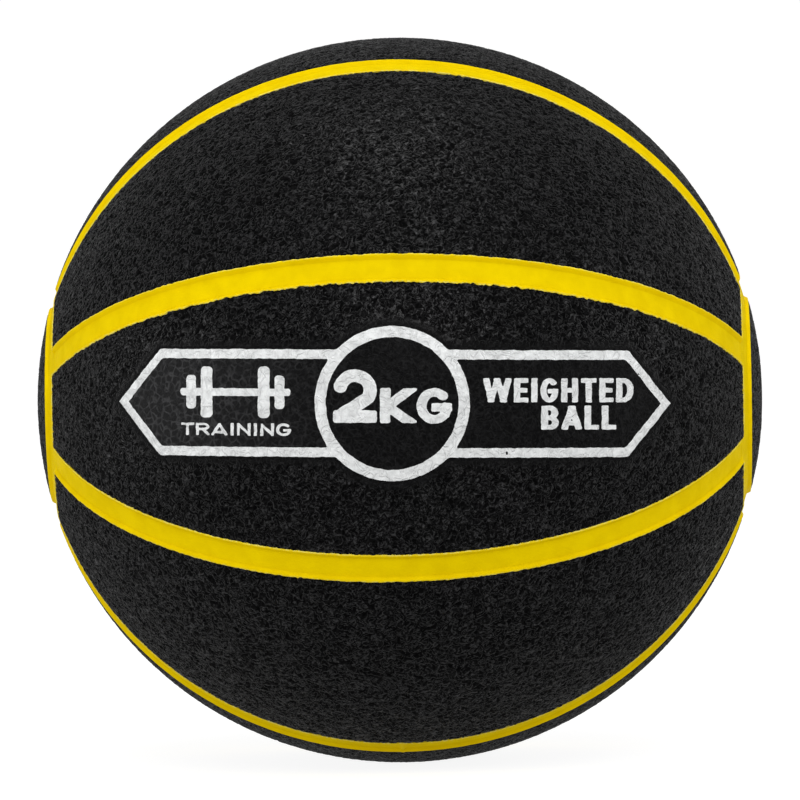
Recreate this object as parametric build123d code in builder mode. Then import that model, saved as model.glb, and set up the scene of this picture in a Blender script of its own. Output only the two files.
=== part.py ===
from build123d import *
import os
from math import asin, cos, degrees, radians, sin, sqrt

# Rubber medicine ball, 2 kg. Millimetres, +Z up, origin at the ball's centre.
# The pole axis is X: every seam runs from pole to pole, and the valve is at the +X pole.
# The front panel, with the label, faces -Y. Angles about X start at -Y and rise through +Z.

# Ball and cover
ball_radius = 95.0
cover_thickness = 2.4
pole_ring_angle = 17.6          # from the pole to the middle of the ring channel
front_panel_angle = 46.9        # seam to seam; the labelled panel is a little wider than the others

# Sunken channels, moulded in the coloured strips between the panels
channel_width = 7.6
channel_depth = 0.9
channel_floor_width = 5.2
channel_lip = 0.3               # flush rim on each side of a channel

# Layers under the cover, from the outside in
weight_thickness = 13.4
winding_thickness = 1.2
bladder_thickness = 1.8

# Valve, along the +X pole axis
housing_neck_radius = 6.0
housing_flange_radius = 12.0
housing_flange_thickness = 2.0
housing_recess = 0.1            # neck face below the ball's surface
housing_floor = 1.4             # rubber between the bladder and the core
core_radius = 3.2
core_barb_radius = 4.4
core_barb_depth = 8.0           # from the ball's surface to the middle of the barb
core_barb_length = 2.4
core_recess = 0.5               # core face below the ball's surface
core_lip = 1.4                  # closed rubber under the needle hole
needle_hole_radius = 1.0
needle_lead_in = 0.8
air_passage_radius = 2.0
valve_clearance = 0.05          # round the neck, in the cap and in the weight shell
core_clearance = 0.02

# Label, a transfer set into the front panel
label_lift = 4.1                # of its centre above the panel's mid-line, along the surface
label_turn = -1.1               # degrees, seen from the front
label_half_length = 69.8        # to the pointed ends
label_shoulder = 59.0           # where the points begin
label_half_height = 13.4
label_line = 2.35               # width of the printed line along the top and bottom
label_point_line = 1.95         # and along the four sloping sides
label_ring_radius = 19.35
label_ring_line = 2.8
label_margin = 0.8              # clear film outside the print
film_thickness = 0.4
print_thickness = 0.2

panel_names = [
    "cover_panel_front",
    "cover_panel_front_upper",
    "cover_panel_top",
    "cover_panel_back_upper",
    "cover_panel_back",
    "cover_panel_back_lower",
    "cover_panel_bottom",
    "cover_panel_front_lower",
]
strip_names = [
    "seam_strip_front_high",
    "seam_strip_top_front",
    "seam_strip_top_back",
    "seam_strip_back_high",
    "seam_strip_back_low",
    "seam_strip_bottom_back",
    "seam_strip_bottom_front",
    "seam_strip_front_low",
]

# Worked out from the sizes above
other_panel_angle = (360.0 - front_panel_angle) / (len(panel_names) - 1)
carcass_radius = ball_radius - cover_thickness
weight_inner_radius = carcass_radius - weight_thickness
winding_inner_radius = weight_inner_radius - winding_thickness
bladder_inner_radius = winding_inner_radius - bladder_thickness
channel_floor_radius = ball_radius - channel_depth
half_channel = channel_width / 2
half_channel_angle = degrees(asin(half_channel / ball_radius))
cap_angle = pole_ring_angle - half_channel_angle
panel_end_angle = pole_ring_angle + half_channel_angle
outside = ball_radius + 5.0     # where cutting shapes end, clear of the ball

os.makedirs("parts", exist_ok=True)


def polar(radius, angle):
    """A point at an angle in degrees from the pole axis."""
    return (radius * cos(radians(angle)), radius * sin(radians(angle)))


def on_circle(radius, offset):
    """The point of a circle about the origin that is this far to one side."""
    return (sqrt(radius**2 - offset**2), offset)


def about_x(angle):
    """The direction at an angle about the pole axis, from -Y up through +Z."""
    return Vector(0, -cos(radians(angle)), sin(radians(angle)))


def seam_angle(count):
    """Angle about the pole axis of the seam after this panel."""
    return front_panel_angle / 2 + count * other_panel_angle


def shell_section(inner, outer, first_angle, last_angle):
    """Half section of a spherical shell between two cones about the pole axis."""
    middle_angle = (first_angle + last_angle) / 2
    with BuildSketch(Plane.XY) as section:
        with BuildLine():
            start = Line(polar(inner, first_angle), polar(outer, first_angle))
            rim = ThreePointArc(start @ 1, polar(outer, middle_angle), polar(outer, last_angle))
            end = Line(rim @ 1, polar(inner, last_angle))
            ThreePointArc(end @ 1, polar(inner, middle_angle), start @ 0)
        make_face()
    return section.sketch


def save(part, name):
    part.label = name
    export_step(part, f"parts/{name}.step")


# The label's two outlines, drawn flat on a plane square to the label's middle
label_direction = about_x(degrees(label_lift / ball_radius))
label_along = Vector(1, 0, 0).rotate(Axis((0, 0, 0), label_direction), label_turn)
label_plane = Plane(origin=(0, 0, 0), x_dir=label_along, z_dir=label_direction)
point_slope = (label_half_length - label_shoulder) / label_half_height


def pointed_bar(inset, point_inset):
    """Corners of the long label shape, moved in from its long edges and from its sloping ends."""
    tip = label_half_length - point_inset * sqrt(1 + point_slope**2)
    height = label_half_height - inset
    shoulder = tip - height * point_slope
    return [
        (tip, 0), (shoulder, height), (-shoulder, height),
        (-tip, 0), (-shoulder, -height), (shoulder, -height),
    ]


with BuildSketch(label_plane) as print_outline:
    Polygon(*pointed_bar(0, 0), align=None)
    Polygon(*pointed_bar(label_line, label_point_line), align=None, mode=Mode.SUBTRACT)
    Circle(label_ring_radius)
    Circle(label_ring_radius - label_ring_line, mode=Mode.SUBTRACT)

with BuildSketch(label_plane) as film_outline:
    Polygon(*pointed_bar(-label_margin, -label_margin), align=None)
    Circle(label_ring_radius + label_margin)

with BuildPart() as label_frame:
    extrude(print_outline.sketch, amount=outside)
    section = shell_section(ball_radius - print_thickness, ball_radius, 0, 180)
    revolve(section, axis=Axis.X, mode=Mode.INTERSECT)
save(label_frame.part, "label_frame")

with BuildPart() as film_pocket:
    extrude(film_outline.sketch, amount=outside)
    section = shell_section(ball_radius - film_thickness, ball_radius, 0, 180)
    revolve(section, axis=Axis.X, mode=Mode.INTERSECT)

with BuildPart() as label_film:
    add(film_pocket.part)
    add(label_frame.part, mode=Mode.SUBTRACT)
save(label_film.part, "label_film")


# Eight gore panels, each between two flat channel sides and two end cones
for count, name in enumerate(panel_names):
    panel_angle = other_panel_angle if count else front_panel_angle
    half_angle = radians(panel_angle / 2)
    middle = about_x(seam_angle(count) - panel_angle / 2)
    wedge_plane = Plane(origin=(0, 0, 0), x_dir=middle, z_dir=(1, 0, 0))
    wedge_apex = half_channel / sin(half_angle)
    far = wedge_apex + outside * cos(half_angle)
    half_spread = outside * sin(half_angle)
    with BuildPart() as cover_panel:
        with BuildSketch(wedge_plane):
            Polygon((wedge_apex, 0), (far, half_spread), (far, -half_spread), align=None)
        extrude(amount=outside, both=True)
        section = shell_section(carcass_radius, ball_radius, panel_end_angle, 180 - panel_end_angle)
        revolve(section, axis=Axis.X, mode=Mode.INTERSECT)
        if name == "cover_panel_front":
            add(film_pocket.part, mode=Mode.SUBTRACT)
    save(cover_panel.part, name)


# Eight seam strips: a channel section swept round the ball in its meridian plane
def strip_plane(angle, start_angle):
    """The section's plane, radial along local X and across the strip along local Y."""
    outward = about_x(angle)
    across = Vector(1, 0, 0).cross(outward)
    pole = Vector(1, 0, 0)
    radial = pole * cos(radians(start_angle)) + outward * sin(radians(start_angle))
    return Plane(origin=(0, 0, 0), x_dir=radial, z_dir=radial.cross(across)), across


half_floor = channel_floor_width / 2
lip_edge = half_channel - channel_lip


def channel_section(plane):
    """The strip's cross-section: sole, two sides, two flush rims and the sunken floor."""
    with BuildSketch(plane) as section:
        with BuildLine():
            left = Line(on_circle(carcass_radius, -half_channel), on_circle(ball_radius, -half_channel))
            left_lip = RadiusArc(left @ 1, on_circle(ball_radius, -lip_edge), -ball_radius)
            left_wall = Line(left_lip @ 1, on_circle(channel_floor_radius, -half_floor))
            floor = ThreePointArc(
                left_wall @ 1, (channel_floor_radius, 0), on_circle(channel_floor_radius, half_floor)
            )
            right_wall = Line(floor @ 1, on_circle(ball_radius, lip_edge))
            right_lip = RadiusArc(right_wall @ 1, on_circle(ball_radius, half_channel), -ball_radius)
            right = Line(right_lip @ 1, on_circle(carcass_radius, half_channel))
            ThreePointArc(right @ 1, (carcass_radius, 0), left @ 0)
        make_face()
    return section.sketch


def channel_space(plane):
    """The open space of the channel, running out past the ball's surface."""
    wall_slope = (lip_edge - half_floor) / channel_depth
    spread = lip_edge + (outside - ball_radius) * wall_slope
    with BuildSketch(plane) as section:
        with BuildLine():
            floor = ThreePointArc(
                on_circle(channel_floor_radius, -half_floor),
                (channel_floor_radius, 0),
                on_circle(channel_floor_radius, half_floor),
            )
            Polyline(floor @ 1, on_circle(ball_radius, lip_edge), (outside, spread), (outside, -spread),
                     on_circle(ball_radius, -lip_edge), floor @ 0)
        make_face()
    return section.sketch


with BuildPart() as end_cones:
    for side in (0, 180):
        with BuildSketch(Plane.XY):
            end = abs(side - panel_end_angle)
            Polygon((0, 0), polar(outside, side), polar(outside, end), align=None)
        revolve(axis=Axis.X)

strip_start = pole_ring_angle
strip_arc = 180 - 2 * strip_start
for count, name in enumerate(strip_names):
    plane, across = strip_plane(seam_angle(count), strip_start)
    with BuildPart() as seam_strip:
        revolve(channel_section(plane), axis=Axis((0, 0, 0), across), revolution_arc=strip_arc)
        add(end_cones.part, mode=Mode.SUBTRACT)
    save(seam_strip.part, name)


# Pole rings: the round channel that the seam strips run into at each pole
def ring_section():
    """Half section of the ring, from the cap's edge to the ends of the panels."""
    lip_angle = degrees(asin(lip_edge / ball_radius))
    floor_angle = degrees(asin(half_floor / channel_floor_radius))
    with BuildSketch(Plane.XY) as section:
        with BuildLine():
            cap_side = Line(polar(carcass_radius, cap_angle), polar(ball_radius, cap_angle))
            cap_lip = RadiusArc(
                cap_side @ 1, polar(ball_radius, pole_ring_angle - lip_angle), -ball_radius
            )
            cap_wall = Line(cap_lip @ 1, polar(channel_floor_radius, pole_ring_angle - floor_angle))
            floor = ThreePointArc(
                cap_wall @ 1,
                polar(channel_floor_radius, pole_ring_angle),
                polar(channel_floor_radius, pole_ring_angle + floor_angle),
            )
            panel_wall = Line(floor @ 1, polar(ball_radius, pole_ring_angle + lip_angle))
            panel_lip = RadiusArc(panel_wall @ 1, polar(ball_radius, panel_end_angle), -ball_radius)
            panel_side = Line(panel_lip @ 1, polar(carcass_radius, panel_end_angle))
            ThreePointArc(panel_side @ 1, polar(carcass_radius, pole_ring_angle), cap_side @ 0)
        make_face()
    return section.sketch


with BuildPart() as channel_spaces:
    for count in range(len(strip_names)):
        plane, across = strip_plane(seam_angle(count), strip_start)
        revolve(channel_space(plane), axis=Axis((0, 0, 0), across), revolution_arc=strip_arc)

with BuildPart() as pole_ring_valve_side:
    revolve(ring_section(), axis=Axis.X)
    add(channel_spaces.part, mode=Mode.SUBTRACT)
save(pole_ring_valve_side.part, "pole_ring_valve_side")

with BuildPart() as pole_ring_plain_side:
    mirror(pole_ring_valve_side.part, about=Plane.YZ)
save(pole_ring_plain_side.part, "pole_ring_plain_side")


# Pole caps: the round panels inside the rings, one with a hole for the valve
with BuildPart() as pole_cap_plain_side:
    revolve(shell_section(carcass_radius, ball_radius, 180 - cap_angle, 180), axis=Axis.X)
save(pole_cap_plain_side.part, "pole_cap_plain_side")

neck_hole_radius = housing_neck_radius + valve_clearance
with BuildPart() as pole_cap_valve_side:
    revolve(shell_section(carcass_radius, ball_radius, 0, cap_angle), axis=Axis.X)
    with BuildSketch(Plane.YZ):
        Circle(neck_hole_radius)
    extrude(amount=outside, mode=Mode.SUBTRACT)
save(pole_cap_valve_side.part, "pole_cap_valve_side")


# Weighted rubber carcass, in two halves that meet at the ball's middle
flange_seat = winding_inner_radius + housing_flange_thickness
with BuildPart() as weight_shell_plain_side:
    revolve(shell_section(weight_inner_radius, carcass_radius, 90, 180), axis=Axis.X)
save(weight_shell_plain_side.part, "weight_shell_plain_side")

with BuildPart() as weight_shell_valve_side:
    revolve(shell_section(weight_inner_radius, carcass_radius, 0, 90), axis=Axis.X)
    with BuildSketch(Plane.YZ):
        Circle(neck_hole_radius)
    extrude(amount=outside, mode=Mode.SUBTRACT)
    with BuildSketch(Plane.YZ):
        Circle(housing_flange_radius + valve_clearance)
    extrude(amount=flange_seat + valve_clearance, mode=Mode.SUBTRACT)
save(weight_shell_valve_side.part, "weight_shell_valve_side")


# Nylon thread winding round the bladder, open round the valve's flange
with BuildPart() as thread_winding:
    revolve(shell_section(winding_inner_radius, weight_inner_radius, 0, 180), axis=Axis.X)
    with BuildSketch(Plane.YZ):
        Circle(housing_flange_radius + valve_clearance)
    extrude(amount=outside, mode=Mode.SUBTRACT)
save(thread_winding.part, "thread_winding")


# Butyl bladder, with the air passage under the valve
with BuildPart() as air_bladder:
    revolve(shell_section(bladder_inner_radius, winding_inner_radius, 0, 180), axis=Axis.X)
    with BuildSketch(Plane.YZ):
        Circle(air_passage_radius)
    extrude(amount=outside, mode=Mode.SUBTRACT)
save(air_bladder.part, "air_bladder")


# Valve housing: a flange on the bladder, a neck out to the surface and a grooved bore for the core
core_seat = winding_inner_radius + housing_floor
barb_middle = ball_radius - core_barb_depth
barb_bottom = barb_middle - core_barb_length / 2
barb_top = barb_middle + core_barb_length / 2
core_face = ball_radius - core_recess


def plug_section(radius, barb_radius, foot, face):
    """Half section of a round plug with a barb, standing on its foot along the valve's axis."""
    with BuildSketch(Plane.XY) as section:
        Polygon(
            (foot, 0), (foot, radius), (barb_bottom, radius), (barb_middle, barb_radius),
            (barb_top, radius), (face, radius), (face, 0), align=None,
        )
    return section.sketch


with BuildPart() as valve_housing:
    with BuildSketch(Plane.YZ):
        Circle(housing_neck_radius)
    extrude(amount=outside)
    with BuildSketch(Plane.YZ):
        Circle(housing_flange_radius)
    extrude(amount=flange_seat)
    revolve(
        shell_section(winding_inner_radius, ball_radius - housing_recess, 0, 90),
        axis=Axis.X, mode=Mode.INTERSECT,
    )
    revolve(
        plug_section(core_radius, core_barb_radius, core_seat, outside),
        axis=Axis.X, mode=Mode.SUBTRACT,
    )
    with BuildSketch(Plane.YZ):
        Circle(air_passage_radius)
    extrude(amount=outside, mode=Mode.SUBTRACT)
save(valve_housing.part, "valve_housing")


# Self-sealing valve core, with a blind hole for an inflating needle
needle_floor = core_seat + core_lip
with BuildPart() as valve_core:
    revolve(
        plug_section(
            core_radius - core_clearance, core_barb_radius - core_clearance, core_seat, core_face
        ),
        axis=Axis.X,
    )
    with BuildSketch(Plane.YZ.offset(needle_floor)):
        Circle(needle_hole_radius)
    extrude(amount=outside - needle_floor, mode=Mode.SUBTRACT)
    mouth = valve_core.edges().filter_by(GeomType.CIRCLE).group_by(Axis.X)[-1].sort_by(SortBy.RADIUS)[0]
    chamfer(mouth, needle_lead_in)
save(valve_core.part, "valve_core")
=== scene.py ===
"""Surfaces, finishes and studio for a two kilogram rubber medicine ball.

Everything is in metres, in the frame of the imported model: the origin is the ball's centre, +Z is up,
the pole axis is X with the valve at +X, and the label faces -Y.
"Polar" is the angle from the +X pole. "Turn" is the angle about X, from -Y up through +Z.
"""

import itertools
from math import asin, cos, pi, radians, sin, sqrt, tau

import bmesh
import bpy
import numpy as np
from mathutils import Matrix, Vector


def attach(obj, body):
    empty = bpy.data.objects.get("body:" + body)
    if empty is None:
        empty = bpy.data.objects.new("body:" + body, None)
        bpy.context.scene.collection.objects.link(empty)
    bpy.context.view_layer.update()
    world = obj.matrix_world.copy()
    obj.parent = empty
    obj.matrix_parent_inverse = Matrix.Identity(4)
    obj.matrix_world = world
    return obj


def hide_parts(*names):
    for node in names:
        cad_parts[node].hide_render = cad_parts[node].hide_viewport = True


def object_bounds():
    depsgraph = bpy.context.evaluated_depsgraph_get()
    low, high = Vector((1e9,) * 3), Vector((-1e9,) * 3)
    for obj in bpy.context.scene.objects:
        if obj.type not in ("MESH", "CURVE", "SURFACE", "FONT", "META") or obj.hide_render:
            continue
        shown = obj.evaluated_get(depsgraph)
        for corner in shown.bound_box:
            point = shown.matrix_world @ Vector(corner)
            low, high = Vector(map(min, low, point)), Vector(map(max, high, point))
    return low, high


bl_info = {
    "name": "Medicine ball",
    "version": (1, 0, 0),
    "blender": (4, 5, 0),
    "location": "3D View > Sidebar > Medicine ball",
    "description": "Builds the cover, sunken channels, label, valve and studio of a medicine ball",
    "category": "Object",
}

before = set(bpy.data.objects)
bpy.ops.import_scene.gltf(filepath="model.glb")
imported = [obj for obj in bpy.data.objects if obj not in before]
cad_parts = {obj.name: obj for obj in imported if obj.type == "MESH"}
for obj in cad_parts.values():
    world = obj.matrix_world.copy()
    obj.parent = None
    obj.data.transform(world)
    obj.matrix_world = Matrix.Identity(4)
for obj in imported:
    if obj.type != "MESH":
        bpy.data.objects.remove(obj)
CAD_LOW, CAD_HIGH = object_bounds()

MM = 0.001
WHITE = (1, 1, 1, 1)
PANELS = 8
PANEL_NAMES = [
    "cover_panel_front", "cover_panel_front_upper", "cover_panel_top", "cover_panel_back_upper",
    "cover_panel_back", "cover_panel_back_lower", "cover_panel_bottom", "cover_panel_front_lower",
]
STRIP_NAMES = [
    "seam_strip_front_high", "seam_strip_top_front", "seam_strip_top_back", "seam_strip_back_high",
    "seam_strip_back_low", "seam_strip_bottom_back", "seam_strip_bottom_front", "seam_strip_front_low",
]
FRONT_HIGH, BOTTOM_FRONT, FRONT_LOW = 0, 6, 7


# ---------------------------------------------------------------- sizes and colours a user would change

def length(name, description, default):
    return bpy.props.FloatProperty(
        name=name, description=description, default=default, unit="LENGTH", precision=5)


def angle(name, description, degrees):
    return bpy.props.FloatProperty(
        name=name, description=description, default=radians(degrees), subtype="ANGLE")


def watts(name, description, default):
    return bpy.props.FloatProperty(
        name=name, description=description, default=default, min=0, unit="POWER")


def colour(name, description, default):
    return bpy.props.FloatVectorProperty(
        name=name, description=description, default=default, size=4, subtype="COLOR", min=0, max=1)


class BallSizes(bpy.types.PropertyGroup):
    """Sizes of the ball and of its sunken channels"""
    radius: length("Ball radius", "Outside radius, over the tops of the grain", -CAD_LOW.x)
    cover: length("Cover thickness", "Thickness of the moulded cover", 2.4 * MM)
    front_panel: angle("Front panel", "Angle of the front panel, from seam to seam", 46.9)
    channel_half: length("Half channel width", "From a channel's middle to the panel's edge", 3.8 * MM)
    lip_edge: length("Lip edge", "From a channel's middle to the top of its wall", 3.5 * MM)
    floor_edge: length("Floor edge", "From a channel's middle to the foot of its wall", 2.6 * MM)
    channel_depth: length("Channel depth", "Depth of the channel floor below the surface", 0.9 * MM)
    ring_polar: angle("Ring angle", "From the pole to the middle of the ring channel", 17.6)
    neck_hole: length("Valve opening", "Radius of the hole in the valve side's cap", 6.05 * MM)


class RubberFinish(bpy.types.PropertyGroup):
    """Relief and colours of the rubber"""
    grain_size: length("Grain size", "Spacing of the moulded grain's ridges", 1.9 * MM)
    grain_depth: length("Grain depth", "Depth of the pits between the ridges", 0.42 * MM)
    # The two blacks below are painted shade in the grain's pits and painted highlight on its ridges, over the
    # rubber's own black.
    black_shaded_pits: colour("Black, in the pits", "Cover rubber down in the grain", (0.0012, 0.0012, 0.0013, 1))
    black_lit_ridges: colour("Black, on the ridges", "Cover rubber on top of the grain", (0.050, 0.050, 0.052, 1))
    yellow: colour("Channel colour", "Rubber of the channels", (0.95, 0.70, 0.0003, 1))
    # The next colour darkens random patches of the channels, and is painted shade along the foot of each
    # channel wall.
    yellow_patches_and_shade: colour("Channel colour, patches and shade", "The same rubber where it is marked", (0.76, 0.52, 0.0003, 1))
    # The next colour is a painted highlight along the lips of each channel.
    yellow_lip_highlight: colour("Channel colour, rims", "The flash along a channel's lips", (0.96, 0.86, 0.22, 1))
    ink: colour("Print colour", "Print of the label", (0.97, 0.985, 0.985, 1))
    film: colour("Film colour", "Carrier film of the label", (0.0018, 0.0018, 0.002, 1))
    # The next colour is the film's paler tone: painted highlights along its crevices, a paler left end and
    # paler grain tops.
    film_pale_and_highlight: colour("Film colour, pale and highlight", "The film along its creases", (0.062, 0.062, 0.064, 1))


class LabelSizes(bpy.types.PropertyGroup):
    """Sizes of the label on the front panel"""
    lift: length("Lift", "Height of the label's middle above the panel's, along the surface", 4.1 * MM)
    turn: angle("Turn", "Turn of the label seen from the front, anticlockwise", -1.1)
    half_length: length("Half length", "From the middle to the pointed ends", 69.8 * MM)
    shoulder: length("Shoulder", "From the middle to where the points begin", 59.0 * MM)
    half_height: length("Half height", "From the middle to the long edges", 13.4 * MM)
    line: length("Line", "Width of the printed line along the top and bottom", 2.35 * MM)
    point_line: length("Point line", "Width of the printed line at the points", 1.95 * MM)
    ring_radius: length("Ring radius", "Outside radius of the printed ring", 19.35 * MM)
    ring_line: length("Ring line", "Width of the printed ring", 2.8 * MM)
    margin: length("Margin", "Clear film outside the print", 0.8 * MM)


class StudioSizes(bpy.types.PropertyGroup):
    """Camera and light"""
    distance: length("Camera distance", "From the ball's centre to the camera", 1.843)
    azimuth: angle("Azimuth", "Camera's angle round the ball", 1.21)
    elevation: angle("Elevation", "Camera's height angle", 3.0)
    roll: angle("Roll", "Turn of the picture, anticlockwise", 0.94)
    lens: bpy.props.FloatProperty(
        name="Lens", description="Focal length on a 36 mm sensor", default=316.1, unit="CAMERA")
    dome: bpy.props.FloatProperty(name="Dome", description="Soft light from all round", default=0.42, min=0)
    overhead: watts("Overhead", "Power of the overhead softbox", 6.0)
    key: watts("Key", "Power of the softbox above the camera", 9.5)
    left: watts("Left", "Power of the softbox on the camera's left", 12.5)
    right: watts("Right", "Power of the softbox on the camera's right", 5.0)


# ---------------------------------------------------------------- arrays of numbers

def lattice_noise(points, seed):
    """Gradient noise from about -1 to 1: each corner of the unit lattice has a random direction, and a
    point takes the dot products with its cell's eight corners, blended by a fifth-order curve."""
    draw = np.random.default_rng(seed)
    table = draw.permutation(256)
    slopes = draw.normal(size=(256, 3))
    slopes /= np.linalg.norm(slopes, axis=1)[:, None]
    flat = points.reshape(-1, 3)
    cell = np.floor(flat).astype(np.int64)
    part = flat - cell
    blend = part**3 * (part * (part * 6 - 15) + 10)
    total = np.zeros(len(flat))
    for corner in itertools.product((0, 1), repeat=3):
        index = table[(cell[:, 0] + corner[0]) & 255]
        index = table[(index + cell[:, 1] + corner[1]) & 255]
        index = table[(index + cell[:, 2] + corner[2]) & 255]
        weight = np.prod(np.where(corner, blend, 1 - blend), axis=1)
        total += weight * ((part - corner) * slopes[index]).sum(axis=1)
    return 1.5 * total.reshape(points.shape[:-1])


def smooth_step(low, high, value):
    """0 below low, 1 above high, and a smooth third-order curve between them."""
    share = np.clip((value - low) / (high - low), 0, 1)
    return share * share * (3 - 2 * share)


def smooth_min(first, second, reach):
    """The smaller of two values, with the corner between them rounded over a reach."""
    mix = np.clip(reach - np.abs(first - second), 0, None)
    return np.minimum(first, second) - mix * mix / (4 * reach)


def smooth_max(first, second, reach):
    """The larger of two values, with the corner between them rounded over a reach."""
    return -smooth_min(-first, -second, reach)


def ball_points(radius, polar, turn):
    """The point at a radius, an angle from the +X pole and a turn about X."""
    across = radius * np.sin(polar)
    return np.stack(np.broadcast_arrays(
        radius * np.cos(polar), -across * np.cos(turn), across * np.sin(turn)), axis=-1)


def grain_crest(points, size):
    """Height of the moulded grain, 0 in a pit and 1 on a ridge. A ridge follows the zero line of a noise
    whose space is itself bent by noise, so it is a short curved worm; a second, finer set crosses it."""
    bend = np.stack([lattice_noise(points / (1.7 * size), seed) for seed in (11, 12, 13)], axis=-1)
    bent = points + 0.55 * size * bend
    worms = np.exp(-(lattice_noise(bent / size, 21) / 0.17) ** 2)
    finer = np.exp(-(lattice_noise(bent / (0.72 * size), 22) / 0.20) ** 2)
    lumps = 0.5 + 0.5 * lattice_noise(points / (0.5 * size), 23)
    return np.clip(0.80 * np.maximum(worms, 0.85 * finer) + 0.28 * lumps, 0, 1)


# ---------------------------------------------------------------- meshes

SHARP_ANGLE = radians(62)
MERGE_DISTANCE = 1e-7


def make_piece(name, points, quads, triangles=None, attributes=None, merge=False):
    """A mesh object at the origin from arrays of points and faces, smooth but for its sharp rims."""
    triangles = np.zeros((0, 3), int) if triangles is None else triangles
    mesh = bpy.data.meshes.new(name)
    mesh.vertices.add(len(points))
    mesh.vertices.foreach_set("co", np.ascontiguousarray(points, np.float32).ravel())
    corners = np.concatenate([quads.ravel(), triangles.ravel()]).astype(np.int32)
    starts = np.concatenate([
        4 * np.arange(len(quads)), 4 * len(quads) + 3 * np.arange(len(triangles))]).astype(np.int32)
    mesh.loops.add(len(corners))
    mesh.loops.foreach_set("vertex_index", corners)
    mesh.polygons.add(len(starts))
    mesh.polygons.foreach_set("loop_start", starts)
    mesh.update(calc_edges=True)
    for attribute, values in (attributes or {}).items():
        layer = mesh.attributes.new(attribute, "FLOAT", "POINT")
        layer.data.foreach_set("value", np.ascontiguousarray(values, np.float32).ravel())
    if merge:
        form = bmesh.new()
        form.from_mesh(mesh)
        bmesh.ops.remove_doubles(form, verts=form.verts, dist=MERGE_DISTANCE)
        bmesh.ops.delete(form, geom=[e for e in form.edges if not e.link_faces], context="EDGES")
        form.to_mesh(mesh)
        form.free()
    if mesh.validate():
        raise RuntimeError(f"{name} has faces that are not sound")
    mesh.polygons.foreach_set("use_smooth", np.ones(len(mesh.polygons), bool))
    mesh.set_sharp_from_angle(angle=SHARP_ANGLE)
    piece = bpy.data.objects.new(name, mesh)
    bpy.context.scene.collection.objects.link(piece)
    return piece


def grid_faces(index, ring=False):
    """Quads over a grid of vertex numbers; a ring joins the last row to the first."""
    if ring:
        index = np.vstack([index, index[:1]])
    return np.stack([index[:-1, :-1], index[1:, :-1], index[1:, 1:], index[:-1, 1:]], axis=-1).reshape(-1, 4)


def slab_faces(outer_shape, inner_columns, ring=False):
    """Faces of a closed slab, facing outward: an outer grid, an inner grid with the same rows and fewer
    columns, walls along the rows' two ends, and fans across the first and last row unless the rows go
    round in a ring."""
    rows, columns = outer_shape
    outer = np.arange(rows * columns).reshape(rows, columns)
    inner = outer.size + np.arange(rows * inner_columns).reshape(rows, inner_columns)
    walls = [np.stack([inner[:, 0], outer[:, 0]], 1), np.stack([outer[:, -1], inner[:, -1]], 1)]
    quads = [grid_faces(outer, ring), grid_faces(inner[:, ::-1], ring)]
    quads += [grid_faces(wall, ring) for wall in walls]
    triangles = []
    if not ring:
        step = (columns - 1) // (inner_columns - 1)
        count = np.arange(columns - 1)
        for row, order in ((0, (0, 1, 2)), (-1, (2, 1, 0))):
            near = inner[row][count // step]
            fans = np.stack([outer[row, :-1], outer[row, 1:], near], 1)
            joins = np.stack([inner[row, :-1], outer[row, step::step], inner[row, 1:]], 1)
            triangles += [fans[:, order], joins[:, order]]
    triangles = np.concatenate(triangles)[:, ::-1] if triangles else None
    return np.concatenate(quads)[:, ::-1], triangles


def slab_piece(name, outer, inner, values, ring=False, turned=False, merge=False):
    """A closed slab from an outer and an inner grid of points, and attribute values over the outer one.
    It is turned where the columns run the other way round the ball."""
    if turned:
        outer, inner = outer[:, ::-1], inner[:, ::-1]
        values = {key: value[:, ::-1] for key, value in values.items()}
    quads, triangles = slab_faces(outer.shape[:2], inner.shape[1], ring)
    unseen = np.zeros(inner.shape[0] * inner.shape[1])
    values = {key: np.concatenate([value.ravel(), unseen]) for key, value in values.items()}
    points = np.concatenate([outer.reshape(-1, 3), inner.reshape(-1, 3)])
    return make_piece(name, points, quads, triangles, values, merge)


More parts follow.
